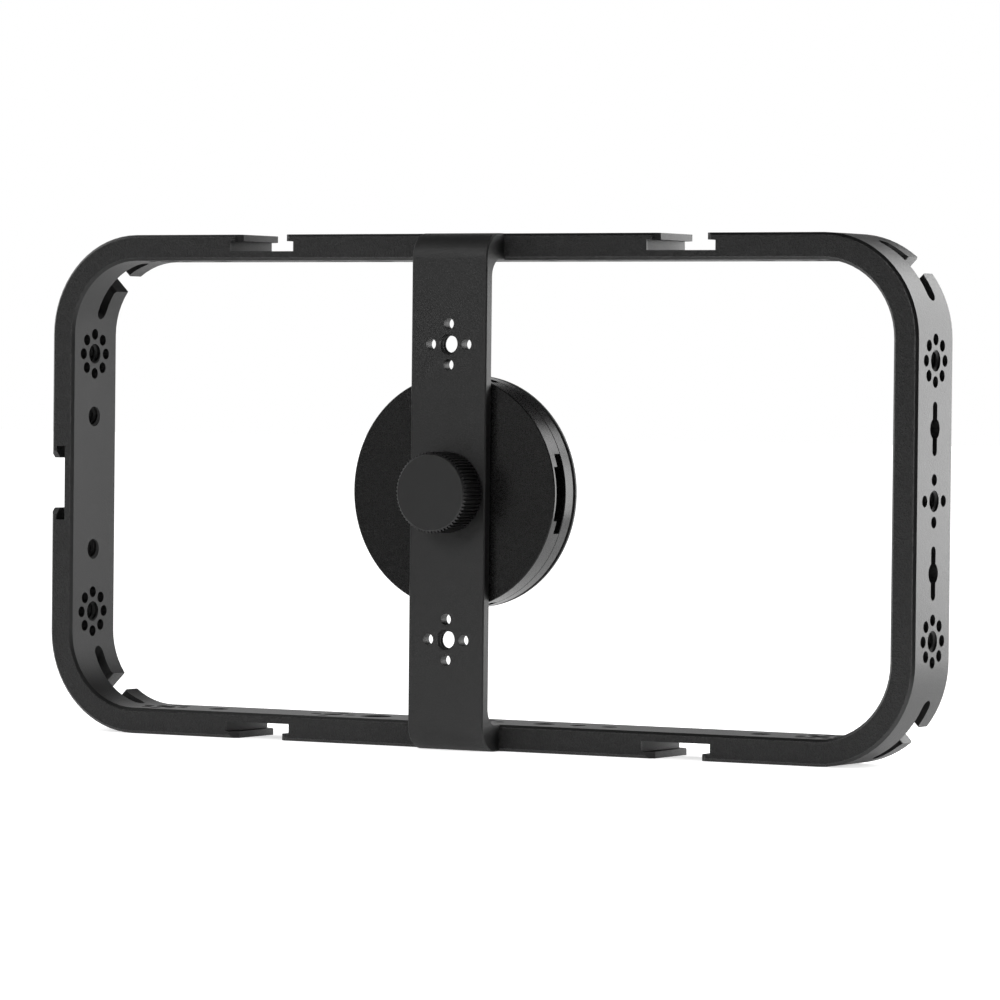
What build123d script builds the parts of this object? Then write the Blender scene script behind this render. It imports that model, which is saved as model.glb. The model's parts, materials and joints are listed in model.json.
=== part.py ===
from build123d import *
import math
import os

# A phone cage: a flat rounded frame of black anodised aluminium that a phone sits inside,
# with a bridge strap across its front that carries a round magnetic mount on a thumbscrew.
# X runs along the frame's width, Y from its front to its rear, and Z up.
# The origin is the mouth of the tripod thread, in the middle of the bottom bar's underside.
# All lengths are in millimetres.

# Frame
cage_width = 245.3
cage_height = 126.3
cage_depth = 19.6
wall = 6.5
corner_radius = 25.2
edge_chamfer = 0.8
rear_inner_chamfer = 0.3
cut_overrun = 1.0

# Threads and plain holes through the frame's walls
thread_bore = 5.1
large_thread_bore = 7.94
pin_circle = 10.0
pin_bore = 2.8
full_pattern_pins = 8
cross_pattern_pins = 4
keyhole_bore = 5.1
keyhole_slot_length = 12.8
keyhole_slot_width = 2.4
keyhole_slot_depth = 2.2
rod_bore = 5.5
small_bore = 4.0

# Where the holes are, as shares of the way from the middle of a bar or wall to its end
bar_pattern_share = 0.7607
bar_keyhole_share = 0.6303
shoe_share = 0.4851
bar_cross_share = 0.3514
large_thread_share = 0.2495
rod_bore_share = 0.1443
small_bore_shares = (0.2218, 0.2931)
wall_pattern_share = 0.523
wall_keyhole_share = 0.2694

# Cold shoe slots
shoe_width = 18.8
shoe_overhang = 3.0
shoe_lip = 1.65
shoe_height = 2.55
shoe_lead_in = 1.8

# Strap cuts through the rear edge of each corner
strap_slot_length = 20.2
strap_slot_width = 3.75
strap_slot_setback = 1.85
strap_neck_width = 5.6
strap_neck_fillet = 1.0
first_corner_angle = 45
quarter_turn = 90

# Bridge strap
bridge_width = 21.2
bridge_standoff = 8.0
bridge_thickness = 2.8
bridge_outer_bend_share = 0.76
bridge_inner_bend_share = 0.8
bridge_root = 1.6
bridge_edge_chamfer = 0.3
bridge_pattern_share = 0.57
bridge_screw_clearance = 0.225

# Thumbscrew
stud_diameter = 6.35
stud_thread_clearance = 0.05
stud_tip_chamfer = 0.6
stud_head_rim = 0.825
stud_head_length = 4.0
stud_tip_gap = 0.4
knob_diameter = 19.8
knob_length = 8.0
knob_teeth = 64
knob_tooth_depth = 0.5
knob_rim_chamfer = 0.75
knob_tooth_tip_share = 0.3
knob_tooth_root_share = 0.3
washer_setback = 3.4
washer_thickness = 0.5
washer_recess = 0.3
washer_side_clearance = 0.1
washer_bore_clearance = 0.1

# Magnetic mount, from the bridge towards the phone
mount_diameter = 57.0
mount_gap = 0.1
front_shell_depth = 5.3
rear_shell_depth = 3.85
seam_chamfer = 0.15
shell_edge_chamfer = 0.2
shell_wall = 1.0
rear_plate = 1.2
socket_width = 19.4
socket_overhang = 3.1
socket_height = 2.9
socket_rim = 0.85
socket_depth = 6.0
friction_ring_diameter = 19.0
friction_ring_width = 2.5
friction_ring_recess = 0.6
insert_flange_rim = 2.9
insert_flange_thickness = 1.2
insert_hex_step = 0.4
insert_barrel_wall = 1.425
insert_barrel_length = 3.2
insert_skin = 1.2
insert_clearance = 0.1
yoke_thickness = 0.6
magnet_width = 3.7
magnet_thickness = 2.2
magnet_count = 16
magnet_gap = 0.3
carrier_side_clearance = 0.1
carrier_wall = 0.6
carrier_flange_setback = 1.1
carrier_flange_depth = 1.05
adhesive_setback = 1.4
adhesive_thickness = 0.15
pad_setback = 0.05
pad_thickness = 0.8
pad_edge_chamfer = 0.2
screw_setback = 5.0
screw_count = 4
screw_first_angle = 45
screw_diameter = 2.5
screw_head_diameter = 4.6
screw_head_height = 1.2
screw_grip = 2.6
screw_drive_width = 1.5
screw_drive_depth = 0.7

# Places that follow from the sizes above
half_width = cage_width / 2
mid_height = cage_height / 2
front_face = -cage_depth / 2
rear_face = cage_depth / 2
bridge_front = front_face - bridge_standoff
bridge_rear = bridge_front + bridge_thickness
inner_width = cage_width - 2 * wall
inner_height = cage_height - 2 * wall
bar_pattern_offset = bar_pattern_share * half_width
bar_keyhole_offset = bar_keyhole_share * half_width
shoe_offset = shoe_share * half_width
bar_cross_offset = bar_cross_share * half_width
large_thread_offset = large_thread_share * half_width
rod_bore_offset = rod_bore_share * half_width
wall_pattern_offset = wall_pattern_share * mid_height
wall_keyhole_offset = wall_keyhole_share * mid_height
bridge_pattern_offset = bridge_pattern_share * mid_height
bridge_outer_bend = bridge_outer_bend_share * bridge_standoff
bridge_inner_bend = bridge_inner_bend_share * (bridge_standoff - bridge_thickness)
shoe_mouth = shoe_width - 2 * shoe_overhang
mount_front = bridge_rear + mount_gap
seam = mount_front + front_shell_depth
shell_rear = seam + rear_shell_depth
cavity_front = seam + rear_plate
magnet_front = cavity_front + yoke_thickness
magnet_rear = magnet_front + magnet_thickness
carrier_rear = shell_rear + carrier_flange_depth
pad_front = carrier_rear + adhesive_thickness
pad_rear = pad_front + pad_thickness
mount_radius = mount_diameter / 2
socket_mouth = socket_width - 2 * socket_overhang
bridge_screw_bore = stud_diameter + 2 * bridge_screw_clearance
stud_head_diameter = stud_diameter + 2 * stud_head_rim
washer_diameter = knob_diameter - 2 * washer_setback
friction_ring_bore = friction_ring_diameter - 2 * friction_ring_width
insert_barrel_diameter = stud_diameter + 2 * insert_barrel_wall
insert_hex = insert_barrel_diameter + 2 * insert_hex_step
insert_flange_diameter = insert_barrel_diameter + 2 * insert_flange_rim
carrier_diameter = mount_diameter - 2 * (shell_wall + carrier_side_clearance)
magnet_ring_diameter = carrier_diameter - 2 * carrier_wall
magnet_ring_bore = magnet_ring_diameter - 2 * magnet_width
carrier_flange_diameter = mount_diameter - 2 * carrier_flange_setback
pad_diameter = mount_diameter - 2 * pad_setback
adhesive_diameter = pad_diameter - 2 * adhesive_setback
screw_circle = magnet_ring_bore - 2 * screw_setback
insert_tip = seam + insert_barrel_length
insert_flange_front = seam - insert_flange_thickness
stud_tip = insert_tip - stud_tip_gap
washer_front = bridge_front - washer_thickness
knob_rear = washer_front + washer_recess
knob_front = knob_rear - knob_length
stud_head_front = washer_front - stud_head_length


def facing_plane(y):
    """A sketch plane at depth y whose normal is +Y, on the mount's axis."""
    return Plane(origin=(0, y, mid_height), x_dir=(-1, 0, 0), z_dir=(0, 1, 0))


def disc(radius, y_start, y_end):
    """A round slug on the mount's axis between two depths."""
    return extrude(facing_plane(y_start) * Circle(radius), y_end - y_start)


def tube(radius, bore_radius, y_start, y_end):
    """A ring on the mount's axis between two depths."""
    section = Circle(radius) - Circle(bore_radius)
    return extrude(facing_plane(y_start) * section, y_end - y_start)


def rim_edges(shape, y, radius):
    """The circular edges of one radius at one depth, about the mount's axis."""
    found = []
    for edge in shape.edges().filter_by(GeomType.CIRCLE):
        centre = edge.arc_center
        if math.isclose(edge.radius, radius, rel_tol=1e-4) and math.isclose(centre.Y, y, abs_tol=1e-4):
            found.append(edge)
    return found


def on_top(x):
    return Location((x, 0, cage_height))


def on_bottom(x):
    return Location((x, 0, 0), (0, 180, 0))


def on_right(z):
    return Location((half_width, 0, z), (0, 90, 0))


def on_left(z):
    return Location((-half_width, 0, z), (0, -90, 0))


def through_hole(diameter):
    """A hole through a wall whose outer face is z = 0 here, with the wall below it."""
    length = wall + 2 * cut_overrun
    return Pos(0, 0, -wall / 2) * Cylinder(diameter / 2, length)


def pin_pattern(count, centre_bore):
    """A threaded hole with a circle of locating pin holes round it."""
    cutter = through_hole(centre_bore)
    for spot in PolarLocations(pin_circle / 2, count):
        cutter += spot * through_hole(pin_bore)
    return cutter


def keyhole():
    """A round through hole in the middle of a shallow slot that runs along the wall."""
    slot = SlotOverall(keyhole_slot_length, keyhole_slot_width)
    groove = extrude(slot, keyhole_slot_depth + cut_overrun)
    return through_hole(keyhole_bore) + Pos(0, 0, -keyhole_slot_depth) * groove


def shoe_slot():
    """A cold shoe's T slot from front to rear, with bevelled lips at both ends."""
    length = cage_depth + 2 * cut_overrun
    deep = shoe_lip + shoe_height
    high = deep + cut_overrun
    cutter = Pos(0, 0, -shoe_lip - shoe_height / 2) * Box(shoe_width, length, shoe_height)
    cutter += Pos(0, 0, cut_overrun - high / 2) * Box(shoe_mouth, length, high)
    near = shoe_mouth / 2
    flare = near + shoe_lead_in
    for side in (-1, 1):
        end = side * cage_depth / 2
        lead = Polyline(
            (-near, end - side * shoe_lead_in),
            (near, end - side * shoe_lead_in),
            (flare, end),
            (flare, end + side * cut_overrun),
            (-flare, end + side * cut_overrun),
            (-flare, end),
            close=True,
        )
        cutter += Pos(0, 0, -shoe_lip) * extrude(make_face(lead), shoe_lip + cut_overrun)
    return cutter


def strap_cut(angle):
    """A T shaped cut through one corner, open at the rear edge, square to the corner."""
    turn = math.radians(angle)
    outward = Vector(math.cos(turn), 0, math.sin(turn))
    along = Vector(math.sin(turn), 0, -math.cos(turn))
    reach_x = math.copysign(half_width - corner_radius, outward.X)
    reach_z = mid_height + math.copysign(cage_height / 2 - corner_radius, outward.Z)
    centre = Vector(reach_x, 0, reach_z) + outward * (corner_radius - wall / 2)
    neck_length = rear_face + cut_overrun - strap_slot_setback
    outline = Pos(0, strap_slot_setback) * SlotOverall(strap_slot_length, strap_slot_width)
    neck = Rectangle(strap_neck_width, neck_length, align=(Align.CENTER, Align.MIN))
    outline += Pos(0, strap_slot_setback) * neck
    shoulder = strap_slot_setback + strap_slot_width / 2
    inner_corners = []
    for vertex in outline.vertices():
        level = math.isclose(vertex.Y, shoulder, abs_tol=1e-6)
        if level and math.isclose(abs(vertex.X), strap_neck_width / 2, abs_tol=1e-6):
            inner_corners.append(vertex)
    outline = fillet(inner_corners, strap_neck_fillet)
    plane = Plane(origin=centre, x_dir=along, z_dir=outward)
    return extrude(plane * outline, wall, both=True)


def frame_ring():
    """The rounded frame before its holes, with every long edge bevelled."""
    plane = Plane(origin=(0, 0, mid_height), x_dir=(1, 0, 0), z_dir=(0, -1, 0))
    section = RectangleRounded(cage_width, cage_height, corner_radius)
    section -= RectangleRounded(inner_width, inner_height, corner_radius - wall)
    ring = extrude(plane * section, cage_depth / 2, both=True)
    rims = ring.edges().filter_by_position(Axis.Y, front_face, front_face)
    rims += ring.faces().sort_by(Axis.Y)[-1].outer_wire().edges()
    ring = chamfer(rims, edge_chamfer)
    rear = ring.faces().sort_by(Axis.Y)[-1]
    return chamfer(rear.inner_wires()[0].edges(), rear_inner_chamfer)


def bridge_strap():
    """The strap in front of the ring, bent back into its top and bottom bars."""
    root = front_face + bridge_root
    outline = make_face(
        Polyline(
            (root, 0),
            (bridge_front, 0),
            (bridge_front, cage_height),
            (root, cage_height),
            (root, cage_height - wall),
            (bridge_rear, cage_height - wall),
            (bridge_rear, wall),
            (root, wall),
            close=True,
        )
    )
    outer = [v for v in outline.vertices() if math.isclose(v.X, bridge_front, abs_tol=1e-6)]
    outline = fillet(outer, bridge_outer_bend)
    inner = [v for v in outline.vertices() if math.isclose(v.X, bridge_rear, abs_tol=1e-6)]
    inner = [v for v in inner if v.Y < wall + cut_overrun or v.Y > cage_height - wall - cut_overrun]
    outline = fillet(inner, bridge_inner_bend)
    strap = extrude(Plane.YZ * outline, bridge_width / 2, both=True)
    edges = []
    for face in strap.faces().filter_by(Axis.X):
        for edge in face.edges():
            if edge.center().Y < front_face:
                edges.append(edge)
    return chamfer(edges, bridge_edge_chamfer)


def bridge_hole(diameter, x, z):
    length = bridge_thickness + 2 * cut_overrun
    y = (bridge_front + bridge_rear) / 2
    return Location((x, y, z), (90, 0, 0)) * Cylinder(diameter / 2, length)


def bridge_holes():
    """The thumbscrew's hole, and a threaded hole with four pin holes above and below it."""
    cutter = bridge_hole(bridge_screw_bore, 0, mid_height)
    for side in (-1, 1):
        z = mid_height + side * bridge_pattern_offset
        cutter += bridge_hole(thread_bore, 0, z)
        for index in range(cross_pattern_pins):
            turn = 2 * math.pi * index / cross_pattern_pins
            x = pin_circle / 2 * math.cos(turn)
            cutter += bridge_hole(pin_bore, x, z + pin_circle / 2 * math.sin(turn))
    return cutter


def bar_cutters(place):
    """The row of holes in the top or bottom bar; place puts a cutter at an X position."""
    cutters = []
    for side in (-1, 1):
        cutters.append(place(side * bar_pattern_offset) * pin_pattern(full_pattern_pins, thread_bore))
        cutters.append(place(side * bar_keyhole_offset) * keyhole())
        cutters.append(place(side * shoe_offset) * shoe_slot())
    cutters.append(place(-bar_cross_offset) * pin_pattern(cross_pattern_pins, thread_bore))
    cutters.append(place(0) * pin_pattern(cross_pattern_pins, thread_bore))
    cutters.append(place(-large_thread_offset) * through_hole(large_thread_bore))
    cutters.append(place(rod_bore_offset) * through_hole(rod_bore))
    for share in small_bore_shares:
        cutters.append(place(share * half_width) * through_hole(small_bore))
    return cutters


def wall_cutters(place):
    """The holes that the left and right walls share."""
    cutters = []
    for side in (-1, 1):
        z = mid_height + side * wall_pattern_offset
        cutters.append(place(z) * pin_pattern(full_pattern_pins, thread_bore))
        cutters.append(place(mid_height + side * wall_keyhole_offset) * keyhole())
    return cutters


def cage_frame():
    """The ring and its bridge, machined from one plate."""
    body = frame_ring() + bridge_strap()
    cutters = bar_cutters(on_top) + bar_cutters(on_bottom)
    cutters += wall_cutters(on_left) + wall_cutters(on_right)
    cutters.append(on_left(mid_height) * shoe_slot())
    cutters.append(on_right(mid_height) * pin_pattern(cross_pattern_pins, thread_bore))
    for corner in range(4):
        cutters.append(strap_cut(first_corner_angle + corner * quarter_turn))
    cutters.append(bridge_holes())
    for cutter in cutters:
        body -= cutter
    return body


def knob_outline():
    """The toothed rim of the knob, as straight sided teeth on a circle."""
    tip = knob_diameter / 2
    root = tip - knob_tooth_depth
    pitch = 2 * math.pi / knob_teeth
    points = []
    for tooth in range(knob_teeth):
        start = tooth * pitch
        flank = (1 - knob_tooth_tip_share - knob_tooth_root_share) / 2
        shares = (0, knob_tooth_tip_share, knob_tooth_tip_share + flank, 1 - flank)
        radii = (tip, tip, root, root)
        for share, radius in zip(shares, radii):
            angle = start + share * pitch
            points.append((radius * math.cos(angle), radius * math.sin(angle)))
    return make_face(Polyline(*points, close=True))


def thumbscrew_knob():
    """The knurled knob, bored for the stud's head and recessed for the washer."""
    toothed = extrude(facing_plane(knob_front) * knob_outline(), knob_length)
    blank = disc(knob_diameter / 2, knob_front, knob_rear)
    blank = chamfer(rim_edges(blank, knob_front, knob_diameter / 2), knob_rim_chamfer)
    knob = toothed & blank
    knob -= disc(washer_diameter / 2 + washer_side_clearance, washer_front, knob_rear + cut_overrun)
    knob -= disc(stud_head_diameter / 2, stud_head_front, washer_front + cut_overrun)
    return knob


def thumbscrew_stud():
    """The threaded stud, with a plain round head that is pressed into the knob."""
    stud = disc(stud_diameter / 2, washer_front, stud_tip)
    stud = chamfer(rim_edges(stud, stud_tip, stud_diameter / 2), stud_tip_chamfer)
    return stud + disc(stud_head_diameter / 2, stud_head_front, washer_front)


def knob_washer():
    """The nylon washer between the knob and the bridge."""
    bore = stud_diameter / 2 + washer_bore_clearance
    return tube(washer_diameter / 2, bore, washer_front, bridge_front)


def socket_cut(angle):
    """A T shaped socket in the mount's rim, sunk towards its axis."""
    length = socket_depth + cut_overrun
    reach = mount_radius + cut_overrun - length / 2
    high = front_shell_depth - socket_rim
    mouth_y = mount_front + socket_rim + high / 2
    wide_y = seam - socket_height / 2
    cutter = Pos(reach, mouth_y, 0) * Box(length, high, socket_mouth)
    cutter += Pos(reach, wide_y, 0) * Box(length, socket_height, socket_width)
    return Location((0, 0, mid_height), (0, angle, 0)) * cutter


def screw_spots():
    """The X and Z of each housing screw."""
    spots = []
    for index in range(screw_count):
        turn = math.radians(screw_first_angle + index * 360 / screw_count)
        x = screw_circle / 2 * math.cos(turn)
        spots.append((x, mid_height + screw_circle / 2 * math.sin(turn)))
    return spots


def screw_holes(y_start, y_end):
    """Close fitting holes for the housing screws between two depths."""
    cutters = []
    for x, z in screw_spots():
        rod = Cylinder(screw_diameter / 2, y_end - y_start)
        cutters.append(Location((x, (y_start + y_end) / 2, z), (90, 0, 0)) * rod)
    return cutters


def mount_front_shell():
    """The shell against the bridge, with four sockets in its rim and a seat for the insert."""
    shell = disc(mount_radius, mount_front, seam)
    shell = chamfer(rim_edges(shell, mount_front, mount_radius), shell_edge_chamfer)
    shell = chamfer(rim_edges(shell, seam, mount_radius), seam_chamfer)
    for quarter in range(4):
        shell -= socket_cut(quarter * quarter_turn)
    shell -= tube(
        friction_ring_diameter / 2,
        friction_ring_bore / 2,
        mount_front - cut_overrun,
        mount_front + friction_ring_recess,
    )
    shell -= disc(bridge_screw_bore / 2, mount_front - cut_overrun, seam)
    hex_radius = insert_hex / math.sqrt(3)
    hex_front = mount_front + insert_skin
    hex_length = seam - hex_front + cut_overrun
    shell -= extrude(facing_plane(hex_front) * RegularPolygon(hex_radius, 6), hex_length)
    shell -= disc(insert_flange_diameter / 2, insert_flange_front, seam + cut_overrun)
    for cutter in screw_holes(seam - screw_grip, seam + cut_overrun):
        shell -= cutter
    return shell


def mount_rear_shell():
    """The shell on the phone's side: a shallow cup that closes the sockets."""
    shell = disc(mount_radius, seam, shell_rear)
    shell = chamfer(rim_edges(shell, seam, mount_radius), seam_chamfer)
    shell = chamfer(rim_edges(shell, shell_rear, mount_radius), shell_edge_chamfer)
    shell -= disc(mount_radius - shell_wall, cavity_front, shell_rear + cut_overrun)
    clear = insert_barrel_diameter / 2 + insert_clearance
    shell -= disc(clear, seam - cut_overrun, cavity_front + cut_overrun)
    for cutter in screw_holes(seam - cut_overrun, cavity_front + cut_overrun):
        shell -= cutter
    return shell


def thread_insert():
    """The brass insert that the stud screws into, keyed by its hexagon."""
    hex_front = mount_front + insert_skin
    hex_radius = insert_hex / math.sqrt(3)
    body = extrude(facing_plane(hex_front) * RegularPolygon(hex_radius, 6), seam - hex_front)
    body += disc(insert_flange_diameter / 2, insert_flange_front, seam)
    body += disc(insert_barrel_diameter / 2, seam, insert_tip)
    bore = stud_diameter / 2 + stud_thread_clearance
    return body - disc(bore, hex_front - cut_overrun, insert_tip + cut_overrun)


def friction_ring():
    """The rubber ring that grips the bridge's rear face and keeps the mount at its angle."""
    y_end = mount_front + friction_ring_recess
    return tube(friction_ring_diameter / 2, friction_ring_bore / 2, bridge_rear, y_end)


def yoke_ring():
    """The steel ring behind the magnets that closes their field."""
    return tube(magnet_ring_diameter / 2, magnet_ring_bore / 2, cavity_front, magnet_front)


def ring_magnet(index):
    """One curved magnet of the ring."""
    ring = tube(magnet_ring_diameter / 2, magnet_ring_bore / 2, magnet_front, magnet_rear)
    reach = magnet_ring_diameter
    half_turn = math.pi / magnet_count
    half_gap = magnet_gap / 2 / math.sin(half_turn)
    wedge = make_face(
        Polyline(
            (half_gap, 0),
            (half_gap + reach * math.cos(half_turn), reach * math.sin(half_turn)),
            (half_gap + reach * math.cos(half_turn), -reach * math.sin(half_turn)),
            close=True,
        )
    )
    turned = Rot(0, 0, index * 360 / magnet_count) * wedge
    return ring & extrude(facing_plane(magnet_front) * turned, magnet_thickness)


def magnet_carrier():
    """The plastic plate that holds the magnets, and whose edge shows as a dark groove."""
    carrier = disc(carrier_diameter / 2, cavity_front, shell_rear)
    carrier += disc(carrier_flange_diameter / 2, shell_rear, carrier_rear)
    carrier -= tube(magnet_ring_diameter / 2, magnet_ring_bore / 2, cavity_front, magnet_rear)
    clear = insert_barrel_diameter / 2 + insert_clearance
    carrier -= disc(clear, cavity_front - cut_overrun, insert_tip + stud_tip_gap)
    for cutter in screw_holes(cavity_front - cut_overrun, carrier_rear + cut_overrun):
        carrier -= cutter
    for x, z in screw_spots():
        carrier -= screw_head(x, z)
    return carrier


def screw_head(x, z):
    """The countersunk head of one housing screw, flush with the carrier's rear face."""
    head = Cone(screw_diameter / 2, screw_head_diameter / 2, screw_head_height)
    middle = carrier_rear - screw_head_height / 2
    return Location((x, middle, z), (-90, 0, 0)) * head


def housing_screws():
    """Four countersunk screws that hold the carrier and both shells together."""
    screws = []
    start = seam - screw_grip
    end = carrier_rear - screw_head_height
    for x, z in screw_spots():
        shank = Cylinder(screw_diameter / 2, end - start)
        screw = Location((x, (start + end) / 2, z), (90, 0, 0)) * shank + screw_head(x, z)
        socket = extrude(RegularPolygon(screw_drive_width / math.sqrt(3), 6), screw_drive_depth)
        screws.append(screw - Location((x, carrier_rear, z), (90, 0, 0)) * socket)
    return Compound(children=screws)


def pad_adhesive():
    """The thin adhesive disc between the carrier and the face pad."""
    return disc(adhesive_diameter / 2, carrier_rear, pad_front)


def face_pad():
    """The soft pad that the phone sits against."""
    pad = disc(pad_diameter / 2, pad_front, pad_rear)
    return chamfer(rim_edges(pad, pad_rear, pad_diameter / 2), pad_edge_chamfer)


pieces = {
    "cage_frame": cage_frame(),
    "knob_washer": knob_washer(),
    "thumbscrew_knob": thumbscrew_knob(),
    "thumbscrew_stud": thumbscrew_stud(),
    "friction_ring": friction_ring(),
    "mount_front_shell": mount_front_shell(),
    "mount_rear_shell": mount_rear_shell(),
    "thread_insert": thread_insert(),
    "magnet_yoke": yoke_ring(),
    "magnet_carrier": magnet_carrier(),
    "housing_screws": housing_screws(),
    "pad_adhesive": pad_adhesive(),
    "face_pad": face_pad(),
}
for index in range(magnet_count):
    pieces[f"ring_magnet_{index + 1:02d}"] = ring_magnet(index)

os.makedirs("parts", exist_ok=True)
for name, shape in pieces.items():
    export_step(shape, f"parts/{name}.step")
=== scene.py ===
import json
import math

import bpy
from mathutils import Matrix, Vector


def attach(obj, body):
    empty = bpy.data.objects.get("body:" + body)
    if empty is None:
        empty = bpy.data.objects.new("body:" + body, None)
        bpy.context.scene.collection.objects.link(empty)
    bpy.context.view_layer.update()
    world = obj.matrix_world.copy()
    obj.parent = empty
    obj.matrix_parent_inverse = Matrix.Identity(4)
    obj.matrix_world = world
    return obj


# A phone cage: a black anodised frame with a bridge that carries a round magnetic mount.
# Lengths here are in metres. X is the frame's width, Y runs from the knob's side to the phone's.

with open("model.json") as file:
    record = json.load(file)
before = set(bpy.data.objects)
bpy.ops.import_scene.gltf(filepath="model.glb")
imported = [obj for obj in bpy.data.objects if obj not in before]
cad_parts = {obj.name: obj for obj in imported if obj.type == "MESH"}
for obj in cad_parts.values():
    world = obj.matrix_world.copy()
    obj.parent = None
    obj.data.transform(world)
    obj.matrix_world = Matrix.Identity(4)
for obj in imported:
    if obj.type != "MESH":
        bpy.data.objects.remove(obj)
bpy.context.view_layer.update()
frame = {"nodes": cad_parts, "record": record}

mm = 0.001

# The camera, fitted to the photograph in the frame's own coordinates
camera_place = Vector((0.6940982, -1.184102, 0.0912068))
camera_turn = math.radians(30.2136)
camera_tilt = math.radians(-1.2592)
camera_roll = math.radians(-0.5948)
focal_pixels = 5576.3876
picture_pixels = 1000
sensor_width_mm = 36.0
nearest = 0.05
farthest = 50.0


def link(tree, output, socket):
    tree.links.new(output, socket)


def node(tree, kind, **values):
    """A new shader node; each value sets the property of that name."""
    made = tree.nodes.new(kind)
    for name, value in values.items():
        setattr(made, name, value)
    return made


def new_material(name):
    made = bpy.data.materials.new(name)
    made.use_nodes = True
    tree = made.node_tree
    shader = tree.nodes["Principled BSDF"]
    return made, tree, shader


def grey(level):
    return (level, level, level, 1.0)


def ramp(tree, source, low, high, low_colour, high_colour):
    """A colour ramp from one colour to another over part of a texture's range."""
    made = tree.nodes.new("ShaderNodeValToRGB")
    first, last = made.color_ramp.elements
    first.position, first.color = low, low_colour
    last.position, last.color = high, high_colour
    link(tree, source, made.inputs["Fac"])
    return made.outputs["Color"]


def noise(tree, place, size, detail=3.0, rough=0.6):
    """Noise whose features are about size metres across."""
    made = tree.nodes.new("ShaderNodeTexNoise")
    made.inputs["Scale"].default_value = 1.0 / size
    made.inputs["Detail"].default_value = detail
    made.inputs["Roughness"].default_value = rough
    link(tree, place, made.inputs["Vector"])
    return made.outputs["Fac"]


def spread(tree, value, low, high):
    """Maps a texture's 0 to 1 onto low to high."""
    made = tree.nodes.new("ShaderNodeMapRange")
    made.inputs["To Min"].default_value = low
    made.inputs["To Max"].default_value = high
    link(tree, value, made.inputs["Value"])
    return made.outputs["Result"]


def maths(tree, operation, *values):
    """A maths node; each value is a number, or the output of another node."""
    made = node(tree, "ShaderNodeMath", operation=operation)
    for socket, value in zip(made.inputs, values):
        if isinstance(value, (int, float)):
            socket.default_value = value
        else:
            link(tree, value, socket)
    return made.outputs[0]


def bump(tree, height, depth):
    made = tree.nodes.new("ShaderNodeBump")
    made.inputs["Distance"].default_value = depth
    made.inputs["Strength"].default_value = 1.0
    link(tree, height, made.inputs["Height"])
    return made.outputs["Normal"]


def place_of(tree):
    return tree.nodes.new("ShaderNodeTexCoord").outputs["Object"]


# The ring's blasted front face and the chamfers round it, by their depth in Y
front_face = -9.8 * mm
front_face_reach = 0.2 * mm
front_chamfer = -9.4 * mm
front_chamfer_reach = 0.39 * mm

# How an anodised finish varies: the strength of its grain and of its lighter specks, which are painted
# glints of the blast, and what they do to colour and gloss
calm_grain_and_glint = 0.2
lively_grain_and_glint = 1.8
full_glint_level = 0.2
rough_swing = 0.3
chamfer_gloss = -0.13
noise_middle = 0.5
broad_grains = 60
broad_low = 0.35
broad_high = 0.65
broad_darkest = 0.88
broad_share = 0.5


def anodised(name, base, index, rough, grain, grain_depth, glint_brightness, on_ring=False):
    """Anodised aluminium over a fine blast: a dark dyed oxide with a fine speckle of lighter specks, which
    are painted glints of the blast.

    On the ring only the front face has the full speckle of painted glints and relief, and its chamfers are
    smoother.
    """
    made, tree, shader = new_material(name)
    place = place_of(tree)
    fine = noise(tree, place, grain, detail=4.0, rough=0.7)
    broad = noise(tree, place, grain * broad_grains, detail=2.0)
    grain_and_glint = lively_grain_and_glint
    if on_ring:
        axes = tree.nodes.new("ShaderNodeSeparateXYZ")
        link(tree, place, axes.inputs["Vector"])
        depth = axes.outputs["Y"]
        on_face = maths(tree, "COMPARE", depth, front_face, front_face_reach)
        grain_and_glint = spread(tree, on_face, calm_grain_and_glint, lively_grain_and_glint)
    level = maths(tree, "MULTIPLY", maths(tree, "SUBTRACT", fine, noise_middle), grain_and_glint)
    # The lighter specks in the base colour are painted glints of the blast, over its real grain
    colour = ramp(tree, level, 0.0, full_glint_level, grey(base), grey(base * (1 + glint_brightness)))
    tint = ramp(tree, broad, broad_low, broad_high, grey(broad_darkest), grey(1.0))
    mix = node(tree, "ShaderNodeMix", data_type="RGBA", blend_type="MULTIPLY")
    mix.inputs["Factor"].default_value = broad_share
    link(tree, colour, mix.inputs["A"])
    link(tree, tint, mix.inputs["B"])
    link(tree, mix.outputs["Result"], shader.inputs["Base Color"])
    gloss = spread(tree, level, rough, rough + rough_swing)
    if on_ring:
        on_edge = maths(tree, "COMPARE", depth, front_chamfer, front_chamfer_reach)
        gloss = maths(tree, "MULTIPLY_ADD", on_edge, chamfer_gloss, gloss)
    link(tree, gloss, shader.inputs["Roughness"])
    link(tree, bump(tree, level, grain_depth), shader.inputs["Normal"])
    shader.inputs["IOR"].default_value = index
    return made


# How a moulded or plain finish varies with its grain
grain_low = 0.3
grain_high = 0.7
darkest = 0.85
lightest = 1.12
rough_spread = 0.06


def moulded(name, base, grain, grain_depth, rough, metallic=0.0, tint=(1.0, 1.0, 1.0)):
    """Plastic, rubber or plain metal with a fine grain in its colour, gloss and relief."""
    made, tree, shader = new_material(name)
    place = place_of(tree)
    fine = noise(tree, place, grain)
    low = tuple(base * share * darkest for share in tint) + (1.0,)
    high = tuple(base * share * lightest for share in tint) + (1.0,)
    colour = ramp(tree, fine, grain_low, grain_high, low, high)
    link(tree, colour, shader.inputs["Base Color"])
    link(tree, spread(tree, fine, rough - rough_spread, rough + rough_spread), shader.inputs["Roughness"])
    link(tree, bump(tree, fine, grain_depth), shader.inputs["Normal"])
    shader.inputs["Metallic"].default_value = metallic
    return made
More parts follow.
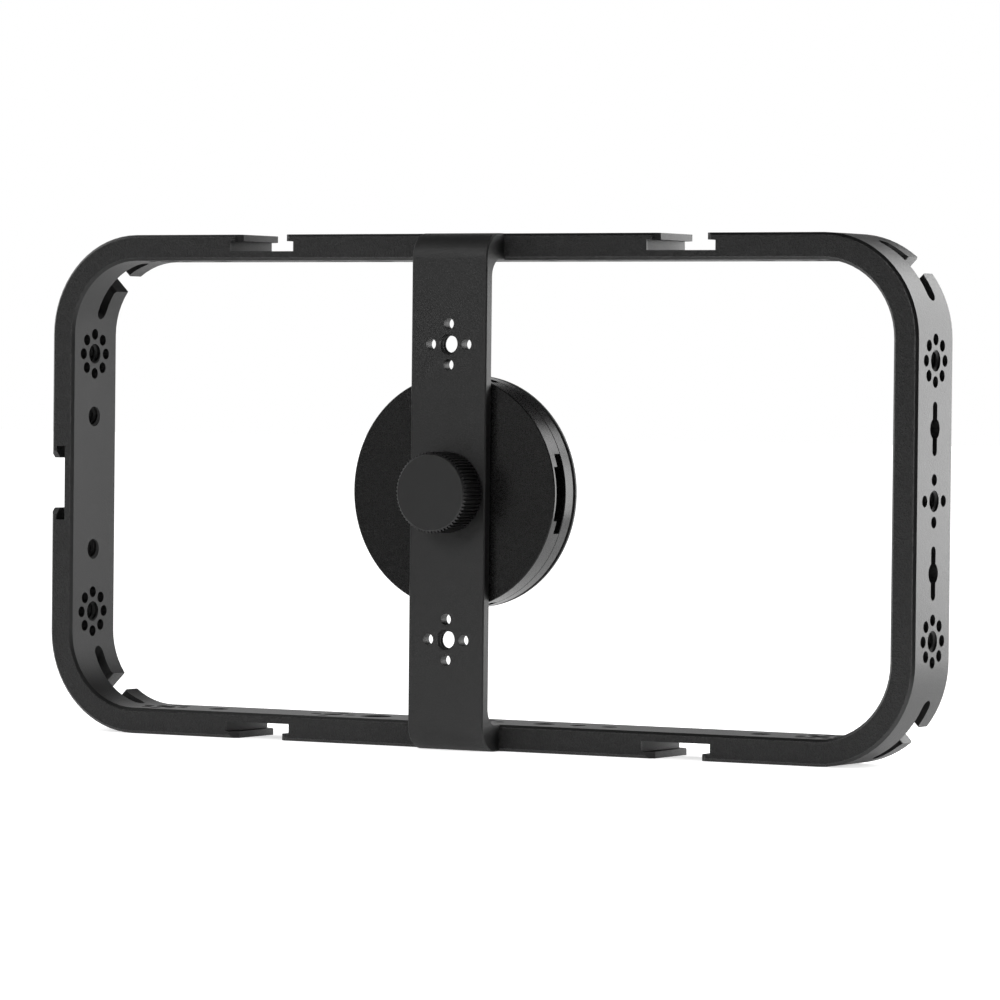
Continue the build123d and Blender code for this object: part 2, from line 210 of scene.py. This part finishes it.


# Base grey, index of refraction, roughness, grain and relief in metres, how much lighter the painted glint
# specks are, and whether it is the ring
anodised_finishes = {
    "frame_anodised": (0.0045, 1.51, 0.48, 0.0005, 0.00032, 2.4, True),
    "thread_anodised": (0.004, 1.45, 0.6, 0.0003, 0.00001, 0.2),
    "knob_anodised": (0.0055, 1.51, 0.42, 0.00025, 0.000008, 0.15),
    "shell_anodised": (0.0035, 1.39, 0.26, 0.00025, 0.000003, 0.12),
}

# Base grey, grain and relief in metres, roughness, and for metals how metallic and which tint
brass_tint = (1.0, 0.75, 0.36)
moulded_finishes = {
    "stud_steel": (0.5, 0.0003, 0.000004, 0.3, 1.0),
    "insert_brass": (0.7, 0.0003, 0.000004, 0.32, 1.0, brass_tint),
    "washer_nylon": (0.018, 0.0004, 0.00001, 0.5),
    "grip_rubber": (0.015, 0.0004, 0.00002, 0.75),
    "yoke_steel": (0.5, 0.0004, 0.000005, 0.4, 1.0),
    "magnet_nickel": (0.62, 0.0004, 0.000003, 0.22, 1.0),
    "carrier_plastic": (0.008, 0.0003, 0.00001, 0.55),
    "screw_steel": (0.12, 0.0003, 0.000004, 0.35, 1.0),
    "adhesive_film": (0.02, 0.0004, 0.00001, 0.6),
    "pad_silicone": (0.022, 0.0003, 0.00001, 0.6),
}
materials = {name: anodised(name, *finish) for name, finish in anodised_finishes.items()}
for name, finish in moulded_finishes.items():
    materials[name] = moulded(name, *finish)
for part in frame["record"]["subparts"]:
    mesh = frame["nodes"][part["node"]].data
    mesh.materials.clear()
    mesh.materials.append(materials[part["material_slot"]])


def build_camera():
    """The camera that the photograph was fitted to."""
    forward = Vector(
        (
            -math.sin(camera_turn) * math.cos(camera_tilt),
            math.cos(camera_turn) * math.cos(camera_tilt),
            math.sin(camera_tilt),
        )
    )
    level = Vector((math.cos(camera_turn), math.sin(camera_turn), 0.0))
    upright = level.cross(forward)
    right = level * math.cos(camera_roll) - upright * math.sin(camera_roll)
    up = level * math.sin(camera_roll) + upright * math.cos(camera_roll)
    data = bpy.data.cameras.new("camera")
    data.sensor_width = sensor_width_mm
    data.lens = focal_pixels / picture_pixels * sensor_width_mm
    data.clip_start = nearest
    data.clip_end = farthest
    made = bpy.data.objects.new("camera", data)
    bpy.context.collection.objects.link(made)
    axes = Matrix((right, up, -forward)).transposed()
    made.matrix_world = Matrix.Translation(camera_place) @ axes.to_4x4()
    bpy.context.scene.camera = made


def area_light(name, place, aim, size, power):
    data = bpy.data.lights.new(name, "AREA")
    data.shape = "RECTANGLE"
    data.size = size[0]
    data.size_y = size[1]
    data.energy = power
    made = bpy.data.objects.new(name, data)
    made.location = place
    made.rotation_euler = (Vector(aim) - Vector(place)).to_track_quat("-Z", "Y").to_euler()
    bpy.context.collection.objects.link(made)


# Strengths of the world and of the floor's own glow, where 1 is white
world_fill = 0.7
floor_grey = 0.9
floor_seen_glow = 0.65
floor_mirrored_glow = 0.28
floor_reach = 6.0


def background_level(tree, lighting, seen, mirrored):
    """A strength that is lighting on the object, seen by the camera, and mirrored in gloss or glass."""
    rays = tree.nodes.new("ShaderNodeLightPath")
    found = spread(tree, rays.outputs["Is Camera Ray"], lighting, seen)
    for kind in ("Is Glossy Ray", "Is Transmission Ray"):
        found = maths(tree, "MAXIMUM", found, spread(tree, rays.outputs[kind], 0.0, mirrored))
    return found


def build_world():
    """White behind the object and in its reflections, and a soft fill elsewhere."""
    world = bpy.data.worlds.new("studio")
    bpy.context.scene.world = world
    world.use_nodes = True
    tree = world.node_tree
    background = tree.nodes["Background"]
    link(tree, background_level(tree, world_fill, 1.0, 1.0), background.inputs["Strength"])
    background.inputs["Color"].default_value = grey(1.0)


def matt(name, level):
    """A plain grey without gloss."""
    made, tree, shader = new_material(name)
    shader.inputs["Base Color"].default_value = grey(level)
    shader.inputs["Roughness"].default_value = 1.0
    shader.inputs["Specular IOR Level"].default_value = 0.0
    return made, tree, shader


def stage_sheet(name, corners, material):
    """One flat sheet of the studio, which isn't part of the object."""
    mesh = bpy.data.meshes.new(name)
    mesh.from_pydata(corners, [], [(0, 1, 2, 3)])
    mesh.materials.append(material)
    made = bpy.data.objects.new(name, mesh)
    bpy.context.collection.objects.link(made)


def build_floor():
    """A plain pale floor that keeps the object's shadow."""
    corners = [(x * floor_reach, y * floor_reach, 0.0) for x, y in ((-1, -1), (1, -1), (1, 1), (-1, 1))]
    made, tree, shader = matt("floor_white", floor_grey)
    shader.inputs["Emission Color"].default_value = grey(1.0)
    glow = background_level(tree, 0.0, floor_seen_glow, floor_mirrored_glow)
    link(tree, glow, shader.inputs["Emission Strength"])
    stage_sheet("floor", corners, made)


def card(name, corners, level):
    """A plain studio card that only reflections show, which sets what the dark metal mirrors."""
    paint, tree, shader = matt(name, level)
    mix = tree.nodes.new("ShaderNodeMixShader")
    link(tree, tree.nodes.new("ShaderNodeLightPath").outputs["Is Glossy Ray"], mix.inputs["Fac"])
    link(tree, tree.nodes.new("ShaderNodeBsdfTransparent").outputs["BSDF"], mix.inputs[1])
    link(tree, shader.outputs["BSDF"], mix.inputs[2])
    link(tree, mix.outputs["Shader"], tree.nodes["Material Output"].inputs["Surface"])
    stage_sheet(name, corners, paint)


def standing(start, end, height):
    """The corners of a card that stands on the floor."""
    return [(*start, 0.0), (*end, 0.0), (*end, height), (*start, height)]


def lying(*places):
    """The corners of a card that lies just over the floor."""
    return [(*place, card_lift) for place in places]


# Threads in the tapped holes, drawn as a fine helical ridge on each bore
cage_half_width = 122.65 * mm
cage_top = 126.3 * mm
mid_height = 63.15 * mm
wall = 6.5 * mm
bridge_front = -17.8 * mm
bridge_thickness = 2.8 * mm
thread_radius = 2.55 * mm
large_thread_radius = 3.97 * mm
fine_pitch = 1.27 * mm
coarse_pitch = 1.5875 * mm
ridge_share = 0.38
ridge_foot_share = 0.42
ridge_crest_share = 0.07
first_turn_share = 0.1
taper_turns = 0.35
run_out = 0.02 * mm
slot_depth = 2.2 * mm
bar_threads = (-93.3 * mm, -43.1 * mm, 0.0, 93.3 * mm)
bar_keyholes = (-77.3 * mm, 77.3 * mm)
large_thread_x = -30.6 * mm
wall_pattern_rise = 33.03 * mm
wall_keyhole_rise = 17.01 * mm
bridge_pattern_rise = 36.0 * mm
ridge_seat = 0.05 * mm
steps_per_turn = 28
fewest_steps = 8
ridge_corners = 4


def add_ridge(points, faces, mouth, axis, start, length, radius, pitch):
    """One helix from the depth start to the depth length, whose ends taper into the bore."""
    axis = Vector(axis)
    across = axis.orthogonal().normalized()
    other = axis.cross(across)
    turns = (length - start) / pitch - 2 * first_turn_share
    steps = max(fewest_steps, int(turns * steps_per_turn))
    crest = radius - ridge_share * pitch
    first = len(points)
    seat = radius + ridge_seat
    for step in range(steps + 1):
        share = step / steps
        angle = 2 * math.pi * turns * share
        depth = start + pitch * (first_turn_share + turns * share)
        ray = across * math.cos(angle) + other * math.sin(angle)
        rise = min(1.0, turns * share / taper_turns, turns * (1 - share) / taper_turns)
        top = radius + (crest - radius) * rise
        foot = (seat, ridge_foot_share)
        edge = (top, ridge_crest_share)
        for (reach, offset), side in ((foot, -1), (edge, -1), (edge, 1), (foot, 1)):
            along = min(max(depth + side * offset * pitch, start + run_out), length - run_out)
            points.append(Vector(mouth) + axis * along + ray * reach)
    for step in range(steps):
        near = first + step * ridge_corners
        far = near + ridge_corners
        for side in range(ridge_corners):
            after = (side + 1) % ridge_corners
            faces.append((near + side, near + after, far + after, far + side))
    faces.append(tuple(first + side for side in reversed(range(ridge_corners))))
    last = first + steps * ridge_corners
    faces.append(tuple(last + side for side in range(ridge_corners)))


def threads(name, bores):
    points, faces = [], []
    for bore in bores:
        add_ridge(points, faces, *bore)
    mesh = bpy.data.meshes.new(name)
    mesh.from_pydata(points, [], faces)
    mesh.materials.append(materials["thread_anodised"])
    made = bpy.data.objects.new(name, mesh)
    bpy.context.collection.objects.link(made)
    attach(made, "cage")


def bar_bores(z, axis):
    bores = []
    for x in bar_threads:
        bores.append(((x, 0, z), axis, 0.0, wall, thread_radius, fine_pitch))
    for x in bar_keyholes:
        bores.append(((x, 0, z), axis, slot_depth, wall, thread_radius, fine_pitch))
    bores.append(((large_thread_x, 0, z), axis, 0.0, wall, large_thread_radius, coarse_pitch))
    return bores


def wall_bores(x, axis, rises):
    bores = []
    for rise in rises:
        bores.append(((x, 0, mid_height + rise), axis, 0.0, wall, thread_radius, fine_pitch))
    for rise in (-wall_keyhole_rise, wall_keyhole_rise):
        bores.append(((x, 0, mid_height + rise), axis, slot_depth, wall, thread_radius, fine_pitch))
    return bores


outer_rises = (-wall_pattern_rise, wall_pattern_rise)
all_rises = (-wall_pattern_rise, 0.0, wall_pattern_rise)
threads("top_bar_threads", bar_bores(cage_top, (0, 0, -1)))
threads("bottom_bar_threads", bar_bores(0.0, (0, 0, 1)))
threads("left_wall_threads", wall_bores(-cage_half_width, (1, 0, 0), outer_rises))
threads("right_wall_threads", wall_bores(cage_half_width, (-1, 0, 0), all_rises))
bridge_bores = []
for rise in (-bridge_pattern_rise, bridge_pattern_rise):
    mouth = (0, bridge_front, mid_height + rise)
    bridge_bores.append((mouth, (0, 1, 0), 0.0, bridge_thickness, thread_radius, fine_pitch))
threads("bridge_threads", bridge_bores)

build_camera()
build_world()
build_floor()

# The cards, each by its corners and its grey
card_lift = 0.001
tall = 0.9
low_height = 0.6
cards = {
    "front_card": (standing((-1.4, -0.37), (0.12, -1.15), tall), 0.68),
    "corner_floor": (lying((0.19, -0.03), (0.8, -0.03), (0.8, -0.9), (0.61, -0.9)), 0.02),
    "front_floor": (lying((-1.05, -0.5), (0.1, -1.1), (0.06, -0.42), (-0.22, -0.1)), 0.12),
    "rear_card": (standing((0.1, -1.3), (1.3, -1.4), tall), 0.35),
    "lens_card": (standing((0.42, -0.44), (0.66, -1.05), low_height), 0.02),
    "corner_card": (standing((0.5, -0.46), (0.74, 0.02), low_height), 0.02),
    "top_card": ([(-0.4, -0.9, 0.6), (0.9, -0.9, 0.6), (0.9, 1.3, 0.42), (-0.4, 1.3, 0.42)], 0.04),
}
for name, (corners, level) in cards.items():
    card(name, corners, level)

# The lamps, each by its place, what it points at, its width and height, and its power in watts
lamps = {
    "side_box": ((0.19, 0.125, 0.165), (0.115, 0.0, 0.16), (0.19, 0.3), 0.81),
    "key_box": ((-0.14, -0.82, 0.5), (0.04, 0.0, 0.07), (0.25, 0.25), 2.5),
    "upper_box": ((0.24, 0.5, 0.33), (0.06, 0.0, 0.08), (0.2, 0.12), 0.22),
}
for name, lamp in lamps.items():
    area_light(name, *lamp)

bpy.context.scene.view_settings.view_transform = "Standard"
